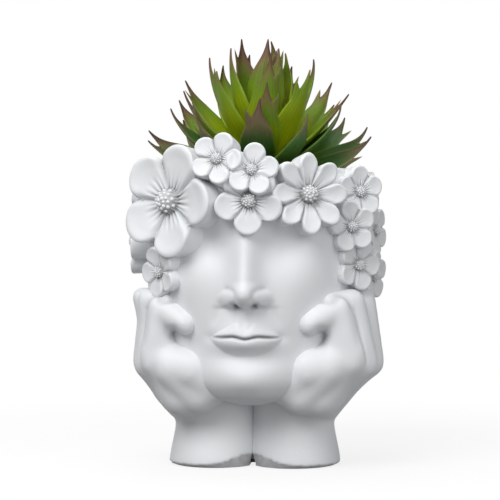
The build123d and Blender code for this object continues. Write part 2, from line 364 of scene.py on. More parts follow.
headSettings = {
    "rimHeight": 160, "jawHeight": 34, "halfWidth": 60, "frontReach": 61, "backReach": 63,
    "wall": 6, "floorHeight": 53, "rimRound": 1.6, "cavityRound": 8,
    "spigotRadius": 9, "spigotFoot": 3, "drainRadius": 4.5,
    # share of the height, half width, front reach, back reach
    "outlineShares": [
        (0.00, 0.16, 0.50, 0.20), (0.03, 0.40, 0.78, 0.34), (0.07, 0.56, 0.88, 0.46),
        (0.13, 0.70, 0.92, 0.58), (0.26, 0.85, 0.92, 0.78), (0.42, 0.95, 0.95, 0.92),
        (0.60, 1.00, 0.97, 1.00), (0.80, 1.00, 1.00, 1.00), (1.00, 0.95, 0.97, 0.95),
    ],
    "columns": 250, "frontCrowding": 0.62, "innerRows": 26,
    "faceSide": 60, "faceFade": 80,  # bearings between which the face's relief ends
}


def headReaches(height):
    settings = headSettings
    share = (height - settings["jawHeight"]) / (settings["rimHeight"] - settings["jawHeight"])
    wide, front, back = tableCurve(settings["outlineShares"], clamp(share))
    return settings["halfWidth"] * wide, settings["frontReach"] * front, settings["backReach"] * back


def headPoint(bearing, height, grow=0.0):  # bearing 0 is the face, 90 the +X side
    halfWidth, front, back = (reach + grow for reach in headReaches(height))
    turn = math.radians(bearing)
    middle, halfDepth = (back - front) / 2, (back + front) / 2
    return Vector((halfWidth * math.sin(turn), middle - halfDepth * math.cos(turn), height))


# Face, on the classical canon: nose base one third up, mouth a third of the way to the chin
faceSettings = {
    "chin": 40, "unit": 47,
    "noseReach": 13.6, "bridgeHalfWidth": 6.6, "tipReach": 14.2, "tipSize": 8.2, "tipLift": 7.0,
    "wingReach": 8.8, "wingSide": 8.2, "wingHalfWidth": 12.2, "wingHalfHeight": 7.0, "wingLift": 4.6,
    # share up the nose, share of the nose's reach
    "ridge": [(0.0, 0.62), (0.13, 0.94), (0.30, 0.82), (0.60, 0.47), (0.85, 0.20), (1.0, 0.16)],
    # share up the nose, share of the bridge's half width
    "ridgeWidth": [(0.0, 1.35), (0.2, 1.25), (0.5, 1.05), (1.0, 1.3)],
    "nostrilSide": 4.9, "nostrilDepth": 2.4,
    "mouthHalfWidth": 18.5, "upperLip": 6.6, "lowerLip": 7.4, "lipReach": 4.3,
    "eyeHollow": 6.0, "cheekbone": 2.6, "cheekHollow": 1.6, "chinHollow": 3.0, "chinReach": 4.6,
}


def knob(across, up, size, power):  # a round form with a flat top and soft sides
    return math.exp(-(((across / size) ** 2 + (up / size) ** 2) ** power))


def noseRelief(x, z):
    face = faceSettings
    base = face["chin"] + face["unit"]
    up = (z - base) / face["unit"]  # 0 at the nose base, 1 at the brow
    if up < -0.12 or up > 1:
        return 0.0
    ridge = tableCurve(face["ridge"], up)[0]
    wide = face["bridgeHalfWidth"] * tableCurve(face["ridgeWidth"], up)[0]
    relief = face["noseReach"] * ridge * bell(x, wide) ** 0.9
    tip = face["tipReach"] * knob(x, z - base - face["tipLift"], face["tipSize"], 1.3)
    relief = softMax(relief, tip, 0.01 + min(3.0, 0.4 * tip))
    wingAcross, wingUp = x / face["wingHalfWidth"], (z - base - face["wingLift"]) / face["wingHalfHeight"]
    wing = face["wingReach"] * math.exp(-(wingAcross ** 2 + wingUp ** 2) ** 2.2)
    relief = softMax(relief, wing, 0.01 + min(4.0, 0.5 * wing))
    ring = math.hypot(abs(x) - face["wingSide"] - 0.6, z - base - 4.2)
    relief -= 1.1 * bell(ring - 5.0, 1.5) * ease(12.5, 9.0, abs(x)) * ease(3.0, 5.5, abs(x))
    foot = base - 0.8 + 1.4 * bell(abs(x) - face["nostrilSide"], 2.6)
    return relief * ease(foot - 0.6, foot + 2.2, z)


def nostril(x, z):
    base = faceSettings["chin"] + faceSettings["unit"]
    aside = abs(x) - faceSettings["nostrilSide"]
    return bell(aside, 2.0) * bell(z - base - 1.0 - aside * 0.35, 1.2)


def lipLines(x):
    face = faceSettings
    share = clamp(abs(x) / face["mouthHalfWidth"])
    middle = face["chin"] + face["unit"] * 2 / 3
    parting = middle - 0.7 * bell(x, 3.2) + 0.5 * bell(abs(x) - 7, 4)
    bow = face["upperLip"] * (1 - share ** 1.7)
    bow *= (1 - 0.17 * bell(x, 2.4)) * (1 + 0.1 * bell(abs(x) - 4.5, 2.5))
    bowl = face["lowerLip"] * (1 - share ** 2.2) ** 0.7
    return parting, parting + bow, middle - bowl, share


def mouthRelief(x, z):
    face = faceSettings
    parting, top, bottom, share = lipLines(x)
    middle = face["chin"] + face["unit"] * 2 / 3
    relief = 3.4 * bell(x, 19) * bell(z - middle, 13)  # the fullness behind the lips
    if share < 1:
        fade = (1 - share ** 2.2) ** 0.7
        if parting <= z <= top + 1.2:
            rise = clamp((z - parting) / max(top - parting, 0.2), 0, 1.25)
            relief += face["lipReach"] * 0.86 * fade * max(0.0, 1 - (rise / 1.12) ** 2.2) ** 0.75
        elif bottom - 3.0 <= z < parting:
            fall = clamp((parting - z) / max(parting - bottom, 0.2), 0, 1.4)
            relief += face["lipReach"] * 1.05 * fade * max(0.0, 1 - ((fall - 0.38) / 0.98) ** 2) ** 1.25
    relief -= 2.6 * bell(z - parting, 0.75) * (1 - share ** 4)
    relief -= 0.9 * bell(abs(x) - face["mouthHalfWidth"], 3.4) * bell(z - middle, 3.0)
    return relief


def faceRelief(x, z):
    face = faceSettings
    base = face["chin"] + face["unit"]
    side = abs(x)
    relief = noseRelief(x, z) + mouthRelief(x, z)
    relief -= face["nostrilDepth"] * nostril(x, z)
    relief -= face["eyeHollow"] * bell(side - 18, 11.5) * bell(z - base - 34, 12)
    relief += face["cheekbone"] * bell(side - 31, 15) * bell(z - base - 14, 17)
    relief -= face["cheekHollow"] * bell(side - 30, 13) * bell(z - base + 22, 15)
    fold = bell(side - 13.5 - (base - z) * 0.38, 2.6)  # from the nose's wing down past the mouth
    relief -= 0.9 * fold * ease(base - 15, base - 4, z) * ease(base + 8, base, z)
    relief -= 1.0 * bell(x, 2.2) * bell(z - base + 6, 4.5)  # groove under the nose, and its two edges
    relief += 0.5 * bell(side - 3.8, 1.8) * bell(z - base + 7, 4.5)
    relief -= face["chinHollow"] * bell(x, 15) * bell(z - face["chin"] - 20.5, 5.0)
    relief += face["chinReach"] * bell(x, 14) * bell(z - face["chin"] - 10, 9.5)
    return relief


def faceRecessShade(x, z):  # painted shade in the narrow places: the lips' parting and the nostrils
    parting, _, _, share = lipLines(x)
    line = bell(z - parting, 0.7) * (1 - share ** 6) if share < 1 else 0.0
    return clamp(0.75 * line + 0.85 * nostril(x, z) ** 1.5)


def headRows():  # heights up the outside, closest where the face has most shape
    rows = []
    height = headSettings["jawHeight"]
    while height < headSettings["rimHeight"] - headSettings["rimRound"]:
        rows.append(height)
        close = max(ease(54, 62, height) * ease(100, 96, height), ease(44, 38, height))
        height += mix(1.0, 0.45, close)
    return rows


def headLoop():  # (kind, height, radius, share or growth) round the section of the wall
    settings = headSettings
    rim, rimRound, wall = settings["rimHeight"], settings["rimRound"], settings["wall"]
    jaw, foot, floor = settings["jawHeight"], settings["spigotFoot"], settings["floorHeight"]
    drain, spigot, cavityRound = settings["drainRadius"], settings["spigotRadius"], settings["cavityRound"]
    loop = [("ring", foot, drain), ("ring", foot, spigot)]
    loop += [("ring", mix(foot, jaw, share), spigot) for share in (0.5, 0.98)]
    loop += [("under", jaw, share / 7) for share in range(1, 7)]
    loop += [("outside", height, 0.0) for height in headRows()]
    for step in range(1, 6):
        turn = math.pi / 2 * step / 5
        loop.append(("outside", rim - rimRound * (1 - math.sin(turn)), -rimRound * (1 - math.cos(turn))))
    for step in range(6):
        turn = math.pi / 2 * step / 5
        inward = rimRound * (1 - math.sin(turn)) - wall
        loop.append(("outside", rim - rimRound * (1 - math.cos(turn)), inward))
    for step in range(1, settings["innerRows"] + 1):
        height = mix(rim - rimRound, floor + cavityRound, step / settings["innerRows"])
        loop.append(("outside", height, -wall))
    for step in range(1, 7):
        turn = math.pi / 2 * step / 6
        inward = -wall - cavityRound * (1 - math.cos(turn)) * 0.5
        loop.append(("outside", floor + cavityRound * (1 - math.sin(turn)), inward))
    loop += [("floor", floor, share / 6) for share in range(1, 6)]
    loop.append(("ring", floor, drain))
    loop += [("ring", mix(floor, foot, share / 4), drain) for share in range(1, 5)]
    return loop


def headBearing(share):  # -180 to 180, with the columns crowded to the front
    side = share * 2 - 1
    return 180 * mix(side ** 3, side, 1 - headSettings["frontCrowding"])


def ringPoint(radius, turn, height):
    return Vector((radius * math.sin(turn), -radius * math.cos(turn), height))


def headSpot(kind, height, amount, bearing):  # a point of the head and how much painted shade it gets
    settings = headSettings
    turn = math.radians(bearing)
    jaw = settings["jawHeight"]
    if kind == "ring":
        return ringPoint(amount, turn, height), 0.0
    if kind == "under":
        return ringPoint(settings["spigotRadius"], turn, height).lerp(headPoint(bearing, height), amount), 0.0
    if kind == "floor":
        edge = headPoint(bearing, height, -settings["wall"] - settings["cavityRound"] * 0.5)
        return edge.lerp(ringPoint(settings["drainRadius"], turn, height), amount), 0.0
    spot = headPoint(bearing, height, amount)
    if amount != 0 or abs(bearing) >= settings["faceFade"]:
        return spot, 0.0
    fade = ease(settings["faceFade"], settings["faceSide"], abs(bearing)) * ease(jaw - 1, jaw + 6, height)
    spot.y -= faceRelief(spot.x, height) * fade
    # the second value is painted shade in the face's narrow places
    return spot, faceRecessShade(spot.x, height) * fade


def makeHead():
    loop = headLoop()
    bpy.ops.mesh.primitive_grid_add(
        x_subdivisions=headSettings["columns"], y_subdivisions=len(loop) - 1, size=2
    )
    head = bpy.context.object
    recess = []
    for vertex in head.data.vertices:
        row = loop[round((vertex.co.y + 1) / 2 * (len(loop) - 1))]
        vertex.co, dark = headSpot(*row, headBearing((vertex.co.x + 1) / 2))
        recess.append(dark)
    paint(head, "recess", recess)
    tidyMesh(head)
    return finishPiece(head, "head", mattePot, "pot", ["head_shell"], 60)


makeHead()


# Hands

handSettings = {
    "voxel": 0.95, "smoothing": 46, "seam": 0.02, "buried": 2.0,
    # palm: place along it, centre, lean in degrees, half width, half depth
    "palm": [
        (0.00, 21.0, 0.0, -6.0, 0, 26.0, 29.0), (0.08, 21.0, 0.0, 2.5, 0, 26.0, 29.0),
        (0.26, 19.8, 0.0, 23.7, 0, 23.7, 24.9), (0.39, 24.4, -4.8, 37.3, 30, 23.9, 27.0),
        (0.62, 42.4, -12.5, 51.6, 44, 18.2, 28.6), (0.76, 54.2, -17.5, 61.6, 37, 14.8, 28.0),
        (0.90, 53.1, -18.0, 76.4, 12, 11.4, 23.2), (1.00, 53.1, -16.8, 87.4, 0, 7.8, 18.0),
    ],
    # fingers: knuckle, middle joint, end joint, radius
    "fingers": [
        ((53.0, -37.5, 58.0), (46.5, -40.5, 86.5), (33.0, -46.6, 78.0), 7.9),
        ((60.0, -30.0, 56.5), (53.5, -32.0, 88.5), (44.0, -40.0, 87.5), 8.0),
        ((63.2, -17.0, 56.5), (59.0, -18.0, 89.0), (50.0, -21.0, 88.0), 7.8),
        ((62.8, -3.0, 61.0), (59.5, -3.0, 86.5), (50.0, -4.0, 85.5), 7.2),
    ],
    "palmHeart": (38.0, 0.6, 41.0), "palmHeartRadius": 12.0,
    # thumb and its pad: from, to, radius from, radius to
    "thumb": [
        ((21.0, -34.5, 44.0), (31.0, -40.5, 54.0), 10.5, 10.8),
        ((27.5, -32.5, 41.5), (40.0, -37.6, 55.0), 12.5, 12.2),
        ((36.0, -28.5, 41.0), (48.0, -33.0, 60.0), 13.8, 12.0),
        ((31.0, -40.5, 54.0), (50.0, -36.2, 60.0), 10.8, 9.8),
        ((49.0, -36.4, 62.0), (45.5, -37.6, 80.0), 9.6, 8.6),
    ],
    # the tones here are painted shade in the creases, the hollow, the seam and under the cut-back foot
    "creaseDepth": 1.5, "creaseWidth": 1.0, "creaseShadeTone": 0.26,
    "hollow": (38.6, 72.0), "hollowSize": 2.9, "hollowDepth": 6.5, "hollowShadeTone": 0.50,
    "seamWidth": 2.6, "seamDepth": 0.7, "seamShadeTone": 0.06,
    "wristMiddle": 21, "chipHeight": 5.6, "chipWidth": 15, "chipDepth": 1.8, "chipShadeTone": 0.46,
    "leftNarrow": 0.085,  # share by which the left hand's outside is nearer
}


def sectionBody(rows, segments=64, rings=40):  # a closed body through leaning ellipses
    bpy.ops.mesh.primitive_uv_sphere_add(segments=segments, ring_count=rings, radius=1)
    item = bpy.context.object

    def place(co):
        share = math.acos(clamp(-co.z, -1, 1)) / math.pi
        x, y, z, lean, wide, deep = tableCurve(rows, share)
        level = math.hypot(co.x, co.y)
        turn = math.atan2(co.y, co.x)
        size = 0.0 if level < 0.001 else 1.0
        across, forward = wide * size * math.cos(turn), deep * size * math.sin(turn)
        lean = math.radians(lean)
        return Vector((x + across * math.cos(lean), y + forward, z - across * math.sin(lean)))

    moveVertices(item, place)
    return item


def taperedBar(start, end, startRadius, endRadius, segments=32):
    bpy.ops.mesh.primitive_uv_sphere_add(segments=segments, ring_count=segments // 2, radius=1)
    item = bpy.context.object
    start, end = Vector(start), Vector(end)
    turn = (end - start).to_track_quat("Z", "Y")

    def place(co):
        centre, radius = (end, endRadius) if co.z > 0 else (start, startRadius)
        return centre + turn @ (co * radius)

    moveVertices(item, place)
    return item


def cutFlat(item, point, normal):
    useOnly(item)
    bpy.ops.object.mode_set(mode="EDIT")
    bpy.ops.mesh.select_all(action="SELECT")
    bpy.ops.mesh.bisect(plane_co=point, plane_no=normal, use_fill=True, clear_outer=True)
    bpy.ops.object.mode_set(mode="OBJECT")


def fingerGap(spot):  # how much nearer one finger is than the next
    nearest = []
    for *joints, radius in handSettings["fingers"]:
        reaches = []
        for start, end in zip(joints, joints[1:]):
            foot, axis = Vector(start), Vector(end) - Vector(start)
            share = clamp((spot - foot).dot(axis) / axis.length_squared)
            reaches.append((spot - foot - axis * share).length)
        nearest.append(min(reaches) - radius)
    nearest.sort()
    return nearest[1] - nearest[0]


def carveHand(hand):  # finger creases, the hollow at the thumb, the seam and the chipped foot, each also painted darker as shade
    settings = handSettings
    hand.data.update()
    spots, recess = [], []
    hollowX, hollowZ = settings["hollow"]
    for vertex in hand.data.vertices:
        spot, normal = vertex.co.copy(), vertex.normal.copy()
        grain = noise.fractal(spot * 0.35, 0.7, 2.0, 4)
        crease = 0.0
        if spot.z > 54:
            crease = bell(fingerGap(spot), settings["creaseWidth"]) * ease(54, 64, spot.z)
        hollow = bell(math.hypot(spot.x - hollowX, (spot.z - hollowZ) * 0.8), settings["hollowSize"])
        hollow *= ease(-30, -36, spot.y)
        seam = bell(spot.x, settings["seamWidth"] + 0.5 * grain) * ease(44, 34, spot.z)
        front = ease(8, -8, spot.y)
        chipTop = 1.2 + settings["chipHeight"] * bell(spot.x, settings["chipWidth"]) * front + 0.4 * grain
        chip = ease(chipTop + 0.5, chipTop - 0.5, spot.z)
        inward = clamp(1 - spot.z / max(chipTop, 0.6))
        spot -= normal * settings["creaseDepth"] * crease
        spot.y += settings["hollowDepth"] * hollow
        spot.y -= math.copysign(settings["seamDepth"], spot.y) * seam
        away = Vector((spot.x - settings["wristMiddle"], spot.y, 0)).normalized()
        spot -= away * settings["chipDepth"] * chip * (0.25 + inward + 0.15 * grain)
        spot.x = max(spot.x, settings["seam"])
        spots.append(spot)
        # painted shade: darker in the creases, the hollow, the seam and the cut-back foot, where shade falls
        dark = settings["creaseShadeTone"] * crease + settings["hollowShadeTone"] * hollow
        dark += settings["seamShadeTone"] * seam * clamp(0.6 + grain)
        recess.append(clamp(max(dark, settings["chipShadeTone"] * chip * clamp(0.9 + 0.25 * grain))))
    for vertex, spot in zip(hand.data.vertices, spots):
        vertex.co = spot
    paint(hand, "recess", recess)


def buryInHead(spot):  # keeps the hidden side of a hand inside the head's wall
    if spot.z < headSettings["jawHeight"] + 3:
        return spot
    halfWidth, front, back = (reach - handSettings["buried"] for reach in headReaches(spot.z))
    middle, halfDepth = (back - front) / 2, (back + front) / 2
    level = math.hypot(spot.x / halfWidth, (spot.y - middle) / halfDepth)
    if level >= 1 or level < 0.2:
        return spot
    return Vector((spot.x / level, middle + (spot.y - middle) / level, spot.z))


def mirrorHand(spot):  # to the left, and a little narrower beside the fingers
    narrow = handSettings["leftNarrow"] * ease(42, 72, spot.x) * ease(30, 46, spot.z) * ease(98, 76, spot.z)
    return Vector((-spot.x * (1 - narrow), spot.y, spot.z))


def makeHands():
    settings = handSettings
    parts = [sectionBody(settings["palm"])]
    heartX, heartShare, heartZ = settings["palmHeart"]
    for knuckle, middleJoint, endJoint, radius in settings["fingers"]:
        heart = (heartX, knuckle[1] * heartShare - 2, heartZ)
        parts.append(taperedBar(heart, knuckle, settings["palmHeartRadius"], radius))
        parts.append(taperedBar(knuckle, middleJoint, radius * 1.03, radius))
        parts.append(taperedBar(middleJoint, endJoint, radius * 0.99, radius * 0.85))
    parts += [taperedBar(*bar) for bar in settings["thumb"]]
    hand = joinPieces(parts)
    applyModifier(hand, "REMESH", mode="VOXEL", voxel_size=settings["voxel"])
    applyModifier(hand, "SMOOTH", factor=0.5, iterations=settings["smoothing"])
    cutFlat(hand, (settings["seam"], 0, 0), (-1, 0, 0))
    cutFlat(hand, (0, 0, 0.02), (0, 0, -1))
    tidyMesh(hand)
    moveVertices(hand, buryInHead)
    carveHand(hand)
    twin = copyPiece(hand)
    moveVertices(twin, mirrorHand)
    tidyMesh(twin)
    for item, side in ((hand, "right"), (twin, "left")):
        finishPiece(item, f"{side}Hand", mattePot, "pot", [f"hand_{side}"], 60)


makeHands()


# Flowers

flowerSettings = {
    "depth": 16, "segments": 150, "rings": 52,
    "radii": {"small": 14.0, "middle": 18.0, "large": 21.5, "broad": 30.5},
    "petalReach": 0.56, "fullness": 1.27, "dish": 0.14, "boss": 0.21, "beads": 24, "edge": 1.5,
    "parting": 0.095, "spoon": 0.045, "lip": 0.022, "foldDepth": 0.035,
    "folds": (-0.62, -0.22, 0.20, 0.60),  # share from a petal's middle to its side
    # name, bearing, share of the rim height, size, petals, spin, stand-off share, upward lean, turn
    "places": [
        ("brow_left", -12, 1.01, "small", 5, 49, 0.74, 9, 0),
        ("brow_middle", 3.5, 0.975, "small", 5, -10, 0.74, 8, 0),
        ("temple_right", 57, 0.805, "small", 5, 10, 0.55, 0, -27),
        ("brow_lower", 2, 0.89, "middle", 5, 34, 0.50, -6, 0),
        ("brow_right", 31, 0.905, "large", 8, 0, 0.46, 6, -4),
        ("crown_right", 66, 0.918, "small", 5, 2, 0.62, 4, -32),
        ("side_right", 88, 0.795, "small", 5, 30, 0.50, 0, -17),
        ("ear_right", 63, 0.682, "small", 5, 53, 0.50, -4, -22),
        ("cheek_right", 85, 0.645, "small", 5, 6, 0.52, -6, -16),
        ("crown_left", -40.5, 0.886, "broad", 5, 50, 0.50, 4, 6),
        ("ear_left", -46, 0.66, "small", 5, 20, 0.44, -6, 0),
        ("side_left", -84, 0.76, "middle", 5, 40, 0.46, 0, 0),
        ("crown_far_left", -92, 0.95, "small", 5, 5, 0.50, 8, 0),
        ("back_right", 98, 0.91, "small", 5, 15, 0.48, 6, 0),
        ("nape_right", 112, 0.76, "small", 5, 25, 0.46, 0, 0),
        ("back_low_right", 136, 0.87, "large", 7, 10, 0.46, 2, 0),
        ("back_middle", 168, 0.93, "small", 5, 0, 0.62, 8, 0),
        ("back_lower", 176, 0.76, "middle", 5, 36, 0.48, -4, 0),
        ("back_left", 200, 0.87, "large", 6, 15, 0.44, 4, 0),
        ("nape_left", 236, 0.90, "middle", 5, 5, 0.50, 6, 0),
        ("back_low_left", 234, 0.74, "small", 5, 45, 0.46, 0, 0),
    ],
}


def petalEdge(turn, petals):  # distance to the outline as a share of the radius
    settings = flowerSettings
    step = 2 * math.pi / petals
    local = (turn - math.pi / 2 + step / 2) % step - step / 2
    centre = settings["petalReach"]
    longHalf = 1 - centre
    wideHalf = centre * math.sin(math.pi / petals) * settings["fullness"]
    cosine, sine = math.cos(local), math.sin(local)
    first = (cosine / longHalf) ** 2 + (sine / wideHalf) ** 2
    second = -centre * cosine / longHalf ** 2
    third = (centre / longHalf) ** 2 - 1
    return (-second + math.sqrt(max(0.0, second * second - first * third))) / first, local


def petalFolds(side, reach, petals):  # the folds that run out from the heart, sunk and painted with shade
    width = 0.11 * petals / 5
    folds = sum(
        bell(side - fold, width) * (1.0 if index % 2 else 0.7)
        for index, fold in enumerate(flowerSettings["folds"])
    )
    return folds * ease(0.16, 0.24, reach) * ease(0.60, 0.30, reach)


def flowerTop(share, turn, radius, petals, twist):
    settings = flowerSettings
    edge, local = petalEdge(turn, petals)
    side = local / (math.pi / petals)
    reach = share * edge
    height = -settings["dish"] * (1 - ease(0.0, 0.75, reach))
    height -= settings["parting"] * bell(abs(side) - 1, 0.17) * ease(0.12, 0.35, reach)  # between petals
    height -= settings["spoon"] * (1 - side * side) * bell(reach - 0.62, 0.26)
    height += settings["lip"] * ease(0.72, 0.94, share)
    height -= settings["foldDepth"] * petalFolds(side, reach, petals)
    height += twist * side * ease(0.2, 0.5, reach)
    return height * radius


def makeFlower(radius, petals, seed):
    settings = flowerSettings
    draw = random.Random(seed)
    sweep = 0.045 if petals > 5 else 0.02
    twists = [sweep + draw.uniform(-0.02, 0.02) for _ in range(petals)]
    bpy.ops.mesh.primitive_uv_sphere_add(
        segments=settings["segments"], ring_count=settings["rings"], radius=1
    )
    flower = bpy.context.object
    recess, spots = [], []
    topShare, wallShare = 0.74, 0.92
    step = 2 * math.pi / petals
    bossRadius = settings["boss"] * radius
    bossFoot = settings["dish"] * radius * 0.95
    for vertex in flower.data.vertices:
        turn = math.atan2(vertex.co.y, vertex.co.x)
        polar = math.acos(clamp(vertex.co.z, -1, 1)) / math.pi
        edge, local = petalEdge(turn, petals)
        side = local * petals / math.pi
        twist = twists[int(((turn - math.pi / 2 + step / 2) % (2 * math.pi)) // step) % petals]
        dark = 0.0
        if polar <= topShare:
            share = math.sin(polar / topShare * math.pi / 2) ** 0.9
            height = flowerTop(share, turn, radius, petals, twist)
            reach = share * edge * radius
            rim = clamp((share - 0.90) / 0.10)
            height -= settings["edge"] * (1 - math.sqrt(1 - rim * rim * 0.98))
            if reach < bossRadius:
                bossTop = math.sqrt(bossRadius ** 2 - reach ** 2) - bossFoot
                height = softMax(height, bossTop, 0.5)
            # painted shade: darker round the boss's foot, over the boss between its beads, in the folds and
            # between the petals
            dark = 0.5 * bell(reach - bossRadius * 1.02, radius * 0.035)
            dark += 0.42 * ease(bossRadius, bossRadius * 0.8, reach)
            dark += 0.75 * petalFolds(side, reach / radius, petals) * ease(0.5, 0.22, reach / radius)
            dark += 0.30 * bell(abs(side) - 1, 0.14) * ease(0.2, 0.3, reach / radius)
        elif polar <= wallShare:
            share = (polar - topShare) / (wallShare - topShare)
            top = flowerTop(1, turn, radius, petals, twist) - settings["edge"]
            height = mix(top, -settings["depth"], share)
            reach = edge * radius * mix(1.0, 0.96, share)
        else:
            share = (polar - wallShare) / (1 - wallShare)
            height = -settings["depth"]
            reach = edge * radius * 0.96 * (1 - share)
        spots.append(Vector((reach * math.cos(turn), reach * math.sin(turn), height)))
        recess.append(clamp(dark))
    for vertex, spot in zip(flower.data.vertices, spots):
        vertex.co = spot
    paint(flower, "recess", recess)
    parts = [flower]
    beads = settings["beads"]
    for bead in range(beads):
        reach = bossRadius * 0.94 * math.sqrt((bead + 0.5) / beads)
        turn = bead * 2.39996
        lift = math.sqrt(bossRadius ** 2 - reach ** 2) - bossFoot
        bpy.ops.mesh.primitive_ico_sphere_add(
            subdivisions=2, radius=bossRadius * draw.uniform(0.13, 0.18),
            location=(reach * math.cos(turn), reach * math.sin(turn), lift),
        )
        ball = bpy.context.object
        paint(ball, "recess", [0.0] * len(ball.data.vertices))
        parts.append(ball)
    return joinPieces(parts)


def flowerPlace(bearing, heightShare, spin, standOff, lean, turn):
    rim = headSettings["rimHeight"]
    height = rim * heightShare
    here = headPoint(bearing, min(height, rim))
    along = (headPoint(bearing + 1, min(height, rim)) - here).normalized()
    along.rotate(Matrix.Rotation(math.radians(turn), 3, "Z"))
    out = along.cross(Vector((0, 0, 1)))
    out = out * math.cos(math.radians(lean)) + Vector((0, 0, 1)) * math.sin(math.radians(lean))
    centre = Vector((here.x, here.y, height)) + out * flowerSettings["depth"] * standOff
    up = out.cross(along)
    turned = Matrix((along, up, out)).transposed().to_4x4()
    return Matrix.Translation(centre) @ turned @ Matrix.Rotation(math.radians(spin), 4, "Z")


def makeFlowers():
    settings = flowerSettings
    for number, (name, bearing, heightShare, size, petals, *pose) in enumerate(settings["places"]):
        flower = makeFlower(settings["radii"][size], petals, number)
        flower.data.transform(flowerPlace(bearing, heightShare, *pose))
        words = name.split("_")
        pieceName = "flower" + "".join(word.title() for word in words)
        finishPiece(flower, pieceName, mattePot, "pot", ["bloom_" + name], 50)


makeFlowers()


# Foam block

foamSettings = {
    "low": 53.2, "top": 135, "clearance": 3.2, "rows": 40, "columns": 96,
    "topShare": 0.4, "footShare": 0.7,  # shares of the sphere's rows where the top ends and the foot starts
    "roughness": 0.9, "sunk": 1.2,
}


def makeFoam():
    settings = foamSettings
    bpy.ops.mesh.primitive_uv_sphere_add(
        segments=settings["columns"], ring_count=settings["rows"], radius=1
    )
    foam = bpy.context.object
    grow = -headSettings["wall"] - settings["clearance"]
    topShare, footShare = settings["topShare"], settings["footShare"]

    def place(co):
        bearing = math.degrees(math.atan2(co.x, -co.y))
        polar = math.acos(clamp(co.z, -1, 1)) / math.pi
        share = clamp((polar - topShare) / (footShare - topShare))
        level = mix(settings["top"], settings["low"], share)
        high = headPoint(bearing, headSettings["rimHeight"], grow)
        edge = high.lerp(headPoint(bearing, settings["low"], grow), share)
        inward = min(polar / topShare, (1 - polar) / (1 - footShare), 1.0)
        spot = Vector((edge.x * inward, edge.y * inward, level))
        if polar < topShare:
            spot.z += noise.fractal(spot * 0.22, 0.8, 2.0, 4) * settings["roughness"] - settings["sunk"]
        return spot

    moveVertices(foam, place)
    tidyMesh(foam)
    finishPiece(foam, "foamBlock", foamFinish, "foam", ["foam_block"])


makeFoam()


# Leaves

leafSettings = {
    "length": 61, "halfWidth": 9.6, "thickness": 1.5, "offset": 3, "coreFoot": 149, "coreHeight": 26,
    "coreRadius": 9, "coreTipRadius": 3.5, "rootGap": 0.3, "steps": 30, "across": 8,
    # share up the core, leaves, first bearing, bearing span, root elevation, tip elevation
    "tiers": [
        (0.14, 6, 75, 210, 13, 36), (0.24, 6, 30, 360, 16, 40), (0.34, 6, 0, 360, 23, 48),
        (0.44, 6, 8, 360, 32, 56), (0.55, 5, 40, 360, 43, 68), (0.66, 5, 12, 360, 55, 80),
        (0.76, 4, 35, 360, 69, 90), (0.92, 3, 10, 360, 80, 90),
    ],
    # along the leaf, half width share
    "outline": [
        (0.0, 0.50), (0.18, 0.86), (0.38, 1.0), (0.56, 0.93), (0.70, 0.68),
        (0.80, 0.40), (0.88, 0.19), (0.95, 0.08), (1.0, 0.02),
    ],
    "seed": 5, "cup": 3.4, "sway": 4.2, "wave": 0.05,
    "frontLift": 26, "hornPlace": 0.78, "hornLength": 12.5, "hornThinness": 0.1, "tipThinness": 0.25,
}


